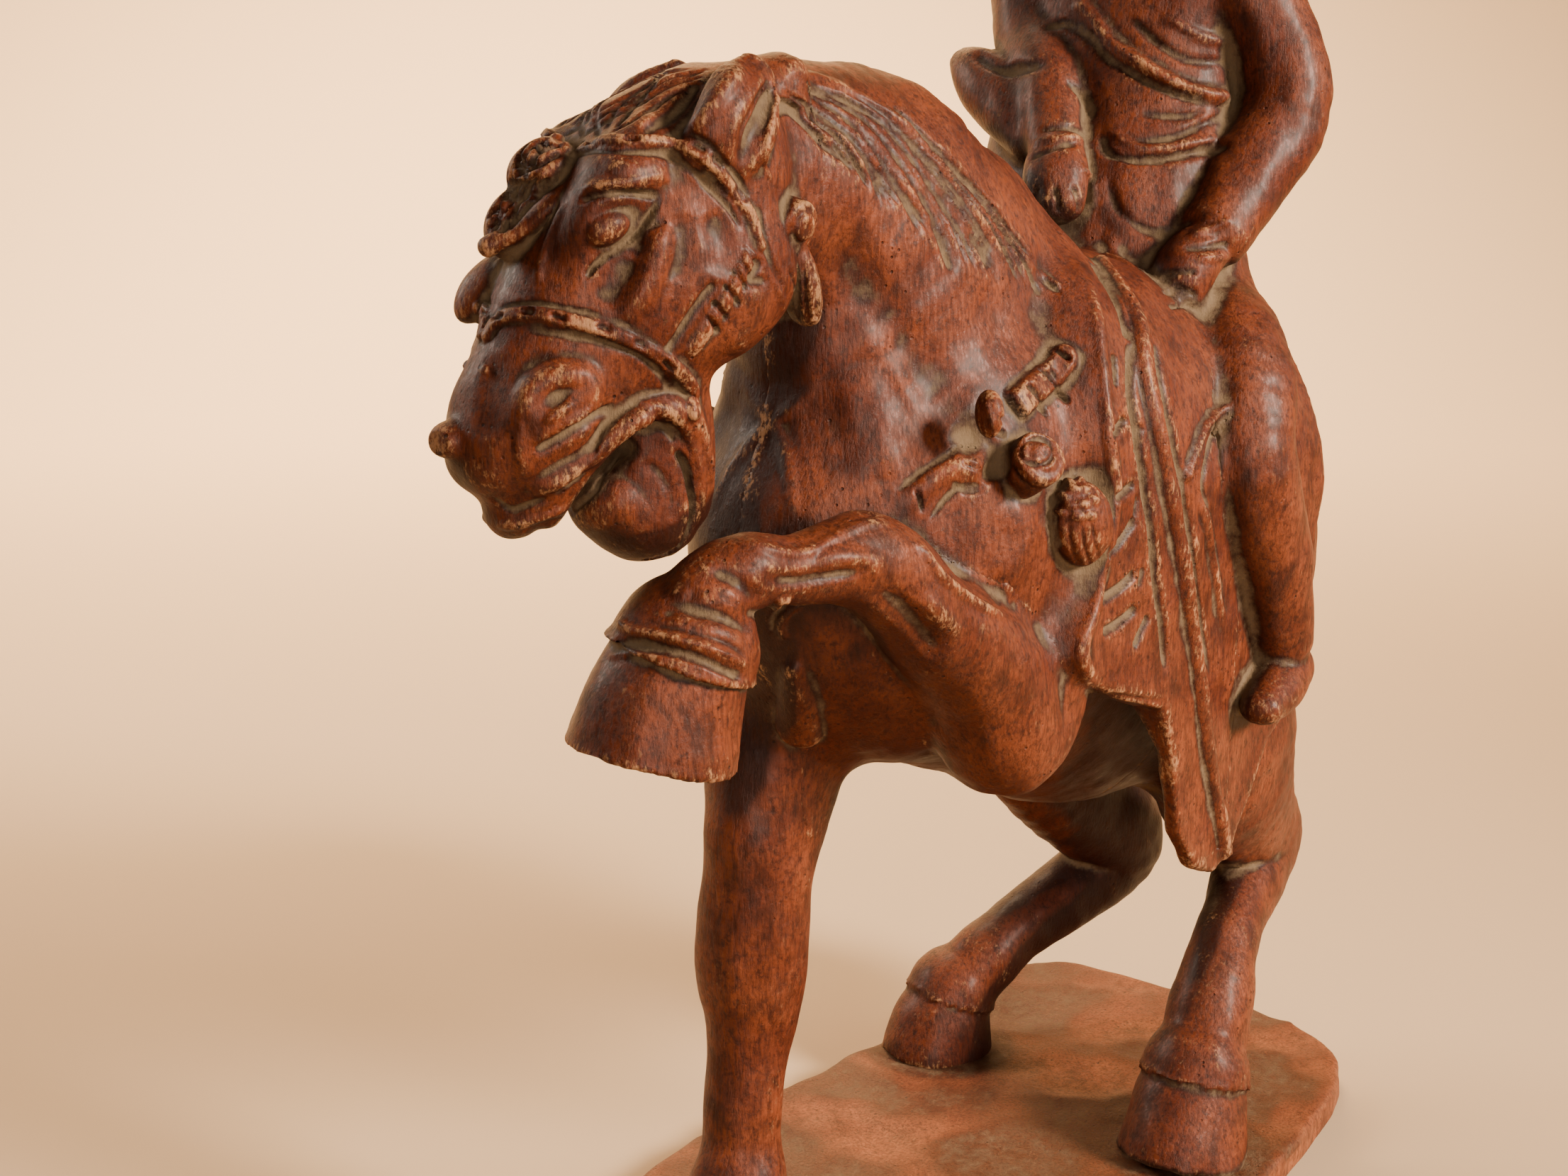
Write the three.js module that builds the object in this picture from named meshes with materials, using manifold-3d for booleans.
// Horse and rider on a low slab, modelled as one solid piece of fired clay.
//
// Working frame: millimetres, +Z up, z = 0 on top of the slab, y = 0 down the middle of the horse.
// The horse faces -X, its left side is -Y. The finished mesh is shifted by FIGURE_OFFSET, which puts
// the origin at the bottom centre of the whole piece.

import { BufferAttribute, BufferGeometry, CatmullRomCurve3, ExtrudeGeometry, Group, Matrix4, Mesh,
  MeshStandardMaterial, Shape, SphereGeometry, SplineCurve, Vector2, Vector3 } from 'three';
import { LoftGeometry } from 'three/addons/geometries/LoftGeometry.js';
import { mergeVertices } from 'three/addons/utils/BufferGeometryUtils.js';
import Module from 'manifold-3d';

// ---- driving dimensions, mm -------------------------------------------------------------------

const SLAB_THICKNESS = 9;
const FIGURE_OFFSET = new Vector3(-31.6, -1.7, SLAB_THICKNESS);

const POLL = new Vector3(-71, 0, 254);           // top of the head, behind the ears
const HEAD_AXIS = new Vector3(-47, 20, -59);     // poll to muzzle: down, and turned to the right
const EYE = { along: 29, out: 11, side: 17, size: 5 };

const CLOTH = { front: 0, back: 114, halfWidth: 50, crown: 236, spring: 178, slope: 0.13, wall: 6 };
const SEAT = new Vector3(88, 0, 205);            // where the rider sits
const RIDER_SHOULDER = 303;
const RIDER_CROWN = 355;

const LIMB_SIDES = 10;                           // facets round a limb
const LIMB_STEPS = 1;                            // sections between two stations
const ROUND_END = [0.75];                        // where the rings of a rounded end lie, 0..1

const wasm = await Module();
wasm.setup();

// ---- solids -----------------------------------------------------------------------------------

/** A closed three.js geometry as a manifold-3d solid. */
function solid(geometry) {
  const bare = geometry.index ? geometry.toNonIndexed() : geometry.clone();
  for (const name of Object.keys(bare.attributes)) {
    if (name !== 'position') bare.deleteAttribute(name);
  }
  const merged = mergeVertices(bare, 1e-4);
  const mesh = new wasm.Mesh({
    numProp: 3,
    vertProperties: new Float32Array(merged.attributes.position.array),
    triVerts: new Uint32Array(merged.index.array),
  });
  const made = new wasm.Manifold(mesh);
  if (made.volume() <= 0) throw new Error('a solid is inside out');
  return made;
}

const joined = (solids) => solids.reduce((whole, next) => whole.add(next));
const v = (x, y, z) => new Vector3(x, y, z);

/**
 * A rounded limb along stations [x, y, z, half width, half depth]. The width is measured along
 * `across`, the depth at right angles to it. Both ends are rounded off, unless the far one is cut flat.
 */
function limb(stations, { across = v(0, 1, 0), sides = LIMB_SIDES, steps = LIMB_STEPS, flat = false } = {}) {
  const path = new CatmullRomCurve3(stations.map(([x, y, z]) => v(x, y, z)), false, 'centripetal');
  const girth = new CatmullRomCurve3(stations.map(([, , , w, d]) => v(w, d, 0)), false, 'centripetal');
  const count = (stations.length - 1) * steps;
  const rings = [];
  for (let i = 0; i <= count; i++) {
    const t = i / count;
    const along = path.getTangent(t);
    const depth = v(0, 0, 0).crossVectors(along, across).normalize();
    const width = v(0, 0, 0).crossVectors(depth, along).normalize();
    rings.push({ centre: path.getPoint(t), along, width, depth, size: girth.getPoint(t) });
  }
  const ended = [...roundEnd(rings[0], -1).reverse(), ...rings, ...(flat ? [] : roundEnd(rings.at(-1), 1))];
  const sections = ended.map((ring) => ringPoints(ring, sides));
  return solid(new LoftGeometry(sections, { capStart: true, capEnd: true }));
}

/** The shrinking rings that round off one end of a limb. */
function roundEnd(ring, direction) {
  const reach = Math.min(ring.size.x, ring.size.y);
  return ROUND_END.map((part) => ({
    ...ring,
    centre: ring.centre.clone().addScaledVector(ring.along, direction * reach * part),
    size: ring.size.clone().multiplyScalar(Math.sqrt(1 - part * part)),
  }));
}

/** One elliptical section of a limb, anticlockwise as seen from its far end. */
function ringPoints({ centre, width, depth, size }, sides) {
  return Array.from({ length: sides }, (_, k) => {
    const angle = (k / sides) * Math.PI * 2;
    return centre.clone()
      .addScaledVector(width, Math.cos(angle) * size.x)
      .addScaledVector(depth, Math.sin(angle) * size.y);
  });
}

/** An ellipsoid with its three half sizes along two given axes and the one at right angles to them. */
function ball(centre, [rx, ry, rz], axes = [v(1, 0, 0), v(0, 1, 0)], detail = 10) {
  const shape = new SphereGeometry(1, detail, Math.round(detail * 0.7));
  const third = v(0, 0, 0).crossVectors(axes[0], axes[1]);
  const frame = new Matrix4().makeBasis(
    axes[0].clone().multiplyScalar(rx), axes[1].clone().multiplyScalar(ry), third.multiplyScalar(rz));
  return solid(shape.applyMatrix4(frame.setPosition(centre)));
}

/** A raised cord or rim of even thickness along points. */
const rim = (points, half, options = {}) =>
  limb(points.map((p) => [p.x, p.y, p.z, half, half]), { sides: 5, steps: 2, ...options });

// ---- slab -------------------------------------------------------------------------------------

function slab() {
  const outline = new SplineCurve([
    [-92, -6], [-82, -50], [-20, -65], [76, -62], [150, -54], [166, -30], [168, 8], [160, 48],
    [82, 60], [-16, 69], [-80, 58], [-92, -6],
  ].map(([x, y]) => new Vector2(x, y)));
  const edge = 2.5;
  const shape = new ExtrudeGeometry(new Shape(outline.getPoints(36).slice(0, -1)), {
    depth: SLAB_THICKNESS - 2 * edge, bevelThickness: edge, bevelSize: edge, bevelOffset: -edge, bevelSegments: 1,
  });
  return solid(shape.translate(0, 0, edge - SLAB_THICKNESS));
}

// ---- horse ------------------------------------------------------------------------------------

function trunk() {
  const shoulders = [1, -1].map((side) => ball(v(-6, side * 24, 184), [24, 13.5, 30]));
  const barrel = limb([
    [-34, 0, 174, 26, 30], [-16, 0, 172, 36, 47], [8, 0, 171, 41, 54], [42, 0, 166, 40, 57],
    [76, 0, 151, 41, 60], [110, 0, 141, 42, 56], [140, 0, 141, 38, 47], [160, 0, 141, 27, 34],
  ], { sides: 16 });
  return joined([barrel, ...shoulders]);
}

function neck() {
  return limb([
    [22, 0, 190, 33, 50], [-7, 0, 213, 29, 49], [-23, 0, 231, 24, 39], [-40, 2, 241, 20.5, 29],
    [-56, 5, 245, 19, 22], [-68, 7, 245, 18, 17],
  ], { sides: 12, steps: 2 });
}

const HEAD = (() => {
  const along = HEAD_AXIS.clone().normalize();
  const left = v(-HEAD_AXIS.y, HEAD_AXIS.x, 0).normalize();
  return { along, out: v(0, 0, 0).crossVectors(along, left).normalize(), left };
})();

/** A point of the head: millimetres down the face, out from the brow, and towards the left cheek. */
const onHead = (along, out, left) => POLL.clone().addScaledVector(HEAD.along, along)
  .addScaledVector(HEAD.out, out).addScaledVector(HEAD.left, left);
const headBall = (along, out, left, sizes, detail) =>
  ball(onHead(along, out, left), sizes, [HEAD.along, HEAD.out], detail);
const headLimb = (stations, options) => limb(
  stations.map(([a, o, l, w, d]) => [...onHead(a, o, l).toArray(), w, d]), { across: HEAD.left, ...options });

function head() {
  const skull = headLimb([
    [3, -1, 0, 16, 15], [9, -2, 0, 18, 19], [18, -4, 0, 19, 23], [30, -5, 0, 18.5, 22], [42, -4, 0, 16, 19],
    [54, -3, 0, 14.5, 14.5], [64, -4.5, 0, 14.5, 12], [71.5, -6.5, 0, 11.5, 9],
  ], { sides: 14 });
  const pieces = [
    skull,
    headLimb([[64, -11, 0, 11.5, 5], [71, -11.5, 0, 9.5, 6], [74.5, -12.5, 0, 6.5, 4.5]]), // upper lip
    headBall(69, 5.5, 0, [5, 4, 4.5], 7),                                             // nose knob
    headLimb([[38, -17, 0, 12, 9], [48, -25, 0, 12, 12], [58, -33, 0, 11, 11]]),       // lower jaw
    headBall(38, 13, -3, [8, 5, 8], 8),                                                // forelock
    headBall(24, 17, -3, [9, 5, 8], 8),
    headLimb([[-16, -6, -1, 7, 6], [-3, 4, -1, 9, 6], [11, 13, -1, 9, 6]]),            // mane between ears
  ];
  for (const side of [1, -1]) {
    pieces.push(
      headBall(20, -14, side * 9, [14, 14, 9], 8),                                     // jowl
      headBall(EYE.along, EYE.out, side * (EYE.side - 1), [EYE.size, EYE.size, 3.5], 7),
      headBall(24, 16, side * 12.5, [11, 5, 5], 7),                                    // brow
      headBall(58, -2, side * 12, [7, 6, 4.5], 7),                                      // nostril
      headLimb([[72, -15, side * 5, 3, 3], [61, -13, side * 10, 3, 3], [49, -15, side * 12, 3, 3],
        [44, -23, side * 11.5, 3, 3], [49, -34, side * 9, 3, 3], [59, -40, side * 4, 3, 3]], { sides: 6 }),
      headLimb([[10, 0, side * 14, 3, 5], [2, 0.5, side * 16, 4, 8], [-6, 1, side * 14, 3.2, 7],
        [-13, 2, side * 9.5, 1.6, 2.5]], { sides: 8 }),                                // ear
    );
  }
  return joined(pieces).subtract(
    headLimb([[76, -23, 0, 9, 3], [64, -19, 0, 9.5, 3.5], [56, -20, 0, 9, 3]], { sides: 10 }));
}

/** A leg from the body to the hoof, with the flared hoof and its coronet. */
const leg = (stations, hoof) => limb(stations).add(limb(hoof, { sides: 12, flat: true }));

function legs() {
  const raisedFore = leg([
    [14, -22, 162, 17, 32], [0, -29, 144, 16, 23], [-21, -33, 141, 15, 17.5], [-36, -32, 153, 13.5, 14.5],
    [-49, -30, 166, 12, 12.5], [-60, -27, 176.5, 10.5, 10.5], [-68, -24.5, 179, 8.2, 8],
    [-77, -21.5, 178.5, 7.6, 7.6], [-86, -18, 177, 9.5, 9.5], [-94, -15, 171, 11, 11],
  ], [[-97.5, -13.5, 166, 12, 12.5], [-100.5, -11.5, 157, 14, 15], [-102.5, -10.5, 148, 15, 17]]);
  const standingFore = leg([
    [-12, 15, 150, 17, 26], [-29, 14, 128, 15, 18], [-34, 13.5, 112, 12.4, 15], [-37, 14, 97, 11.5, 12.5],
    [-38, 15, 80, 12.3, 12.6], [-37.5, 15, 70, 10.6, 11], [-39, 15, 60, 8.8, 9.3], [-41, 15, 50, 8.3, 8.6],
    [-42, 15, 38, 9, 9.4], [-45, 14, 28, 10.8, 11.4], [-47, 14, 19, 11, 12],
  ], [[-47.5, 14, 14, 13, 14], [-49, 14, 6, 15.5, 17], [-50, 14, -3, 17, 19]]);
  const rightHind = leg([
    [116, 22, 126, 20, 36], [116, 26, 98, 17, 30], [130, 22, 72, 13.5, 20], [148, 15, 50, 11, 15],
    [133, 23, 38, 9.4, 11.5], [115, 32, 29, 8.8, 10], [104, 37, 22, 10, 11], [98, 41, 15, 10.5, 11],
  ], [[96, 42.5, 12, 12, 13], [93.5, 43.5, 5, 14, 15.5], [92, 44, -3, 15, 17.5]]);
  const leftHind = leg([
    [116, -22, 126, 20, 36], [114, -28, 98, 17, 30], [130, -28, 76, 13.5, 19], [148, -27, 60, 11, 15],
    [128, -31, 53, 9.4, 11], [106, -35, 44, 8.8, 10], [95, -37, 34, 10.5, 11.5], [87, -38, 22, 11, 12.5],
  ], [[83, -38, 16, 13, 14], [80, -38, 7, 15, 17], [77, -38, -3, 16.5, 19]]);
  return joined([raisedFore, standingFore, rightHind, leftHind]);
}

const tail = () => limb([
  [158, 0, 168, 9, 9], [170, 0, 164, 9, 9], [175, 1, 147, 9, 8], [176, 2, 126, 10, 8], [170, 3, 106, 6, 5],
], { sides: 8 });

// ---- saddle cloth and harness ---------------------------------------------------------------------

/** Height of the cloth's ridge line, and how far out its face is at a height. */
const clothCrown = (x) => CLOTH.crown - CLOTH.slope * x;
function clothFace(x, z) {
  const spring = CLOTH.spring - CLOTH.slope * x;
  if (z <= spring) return CLOTH.halfWidth;
  const rise = Math.min(1, (z - spring) / (clothCrown(x) - spring));
  return CLOTH.halfWidth * Math.sqrt(1 - rise ** 2.4);
}

/** The cloth's arched section at one x, brought in by `inset`, down to height `foot`. */
function clothSection(x, inset, foot) {
  const spring = CLOTH.spring - CLOTH.slope * x;
  const half = CLOTH.halfWidth - inset;
  const rise = clothCrown(x) - inset - spring;
  const arch = Array.from({ length: 13 }, (_, k) => {
    const angle = (k / 12) * Math.PI;
    return v(x, half * Math.cos(angle), spring + rise * Math.sin(angle) ** 0.85);
  });
  return [v(x, -half, foot), v(x, half, foot), ...arch.slice(0, -1), v(x, -half, spring)];
}

function saddleCloth() {
  const stops = [CLOTH.front - 14, (CLOTH.front + CLOTH.back) / 2, CLOTH.back + 8];
  const loft = (inset, foot) => solid(new LoftGeometry(
    stops.map((x) => clothSection(x, inset, foot)), { capStart: true, capEnd: true }));
  const outline = new Shape();
  outline.moveTo(12, 245);
  outline.bezierCurveTo(-4, 220, 2, 192, 12, 172);
  outline.quadraticCurveTo(6, 158, -2, 150);
  outline.bezierCurveTo(20, 130, 34, 108, 48, 90);
  outline.quadraticCurveTo(60, 84, 72, 96);
  outline.quadraticCurveTo(92, 112, 112, 118);
  outline.quadraticCurveTo(118, 170, 104, 240);
  const side = solid(new ExtrudeGeometry(outline, { depth: 120, bevelEnabled: false, curveSegments: 6 })
    .rotateX(Math.PI / 2).translate(0, 60, 0));
  return loft(0, 60).subtract(loft(CLOTH.wall, 50)).intersect(side);
}

/** The two thick rims down the cloth and the straps, rosettes and tassels across the breast. */
function trappings() {
  const pieces = [];
  const onCloth = (x, z, side, proud = 0) => v(x, side * (clothFace(x, z) + proud), z);
  for (const side of [-1, 1]) {
    const frontRim = [[8, 231], [3, 214], [2, 197], [11, 172], [6, 160], [-1, 151]];
    const thickRim = [[18, 228], [17, 210], [22, 190], [29, 172], [35, 154], [47, 126], [56, 104]];
    pieces.push(rim(frontRim.map(([x, z]) => onCloth(x, z, side, -0.5)), 2.2));
    pieces.push(rim(thickRim.map(([x, z]) => onCloth(x, z, side, 0.3)), 3));
    const collar = [v(-2, side * 42, 213), v(-25, side * 39, 203), v(-44, side * 31, 191), v(-57, side * 16, 178)];
    pieces.push(rim(collar, 4, { across: v(0, 0, 1) }));
    const outward = v(-0.35, side * 0.93, 0.05).normalize();
    const up = v(0, 0, 1).addScaledVector(outward, -outward.z).normalize();
    const axes = [outward, up];
    pieces.push(ball(v(-30, side * 34, 203), [3.5, 5, 3.5], axes, 7));
    pieces.push(ball(v(-20, side * 36, 193), [4.5, 7, 6], axes, 8));
    pieces.push(ball(v(-11, side * 38, 179), [5.5, 9, 6.5], axes, 8));
  }
  pieces.push(ball(v(-57, 0, 166), [5, 6, 6], undefined, 7));
  pieces.push(limb([[-56, 0, 160, 4, 3], [-57, 0, 150, 5, 4], [-55, 0, 143, 3, 3]], { sides: 8 }));
  return joined(pieces);
}

// ---- rider ----------------------------------------------------------------------------------------

function riderArm(side, elbow, wrist, fist) {
  const shoulder = v(99, side * 25, RIDER_SHOULDER - 7);
  return limb([
    [shoulder.x, shoulder.y, shoulder.z, 12, 12], [...elbow, 11.5, 12], [...wrist, 8, 8], [...fist, 7.5, 6.5],
  ], { across: v(0.5, side * 0.2, 0.8), sides: 8, steps: 2 });
}

function rider() {
  const robe = limb([
    [SEAT.x, 0, SEAT.z - 12, 42, 30], [SEAT.x, 0, SEAT.z + 10, 38, 29], [90, 0, 234, 30, 25],
    [93, 0, 250, 27, 21], [97, 0, 272, 29, 20], [99, 0, 290, 31, 17], [99, 0, RIDER_SHOULDER, 24, 13],
    [98, 0, RIDER_SHOULDER + 8, 11, 9],
  ], { sides: 14 });
  const waistRoll = rim([v(110, -24, 254), v(84, -21, 249), v(71, 0, 249), v(84, 21, 250), v(110, 24, 254)], 4,
    { across: v(0, 0, 1) });
  const pieces = [
    robe, waistRoll,
    limb([[98, 0, RIDER_SHOULDER, 9, 9], [97, 0, RIDER_SHOULDER + 14, 8.5, 8.5]], { sides: 12 }),
    ball(v(96, 0, 330), [16, 14, 19]),
    ball(v(99, 0, 342), [17.5, 15.5, 12.5]),                                          // cap
    ball(v(108, 0, RIDER_CROWN - 9), [8, 10, 9], undefined, 8),                       // its knot
    riderArm(1, [93, 34, 272], [72, 12, 254], [61, 2, 244]),
    riderArm(-1, [108, -42, 256], [86, -35, 231], [72, -28, 221]),
    limb([[94, 28, 284, 5, 10], [82, 34, 278, 5, 9], [75, 36, 276, 3.5, 5]], { across: v(0, 1, 0), sides: 10 }),
  ];
  for (const side of [-1, 1]) {
    pieces.push(
      limb([[92, side * 24, 208, 17, 17], [74, side * 42, 200, 14, 15], [64, side * 51, 184, 10.5, 12],
        [74, side * 54, 160, 8.5, 11], [84, side * 54, 136, 7, 8]]),
      limb([[88, side * 54, 128, 6.5, 7], [78, side * 55, 125, 7, 6.5], [68, side * 56, 123, 5, 4.5]], { sides: 8 }),
    );
  }
  return joined(pieces);
}

// ---- the whole piece ------------------------------------------------------------------------------

/** A manifold-3d solid as a three.js geometry. */
function geometryOf(made) {
  const mesh = made.getMesh();
  const geometry = new BufferGeometry();
  geometry.setAttribute('position', new BufferAttribute(new Float32Array(mesh.vertProperties), 3));
  geometry.setIndex(new BufferAttribute(new Uint32Array(mesh.triVerts), 1));
  geometry.computeVertexNormals();
  return geometry;
}

const clay = new MeshStandardMaterial({ color: '#8f4f30', roughness: 0.5, metalness: 0 });
const figure = joined([slab(), trunk(), neck(), head(), legs(), tail(), saddleCloth(), trappings(), rider()]);
const horseAndRider = new Mesh(geometryOf(figure), clay);
horseAndRider.name = 'horse_and_rider';
horseAndRider.position.copy(FIGURE_OFFSET);

const part = new Group();
part.add(horseAndRider);

export default part;
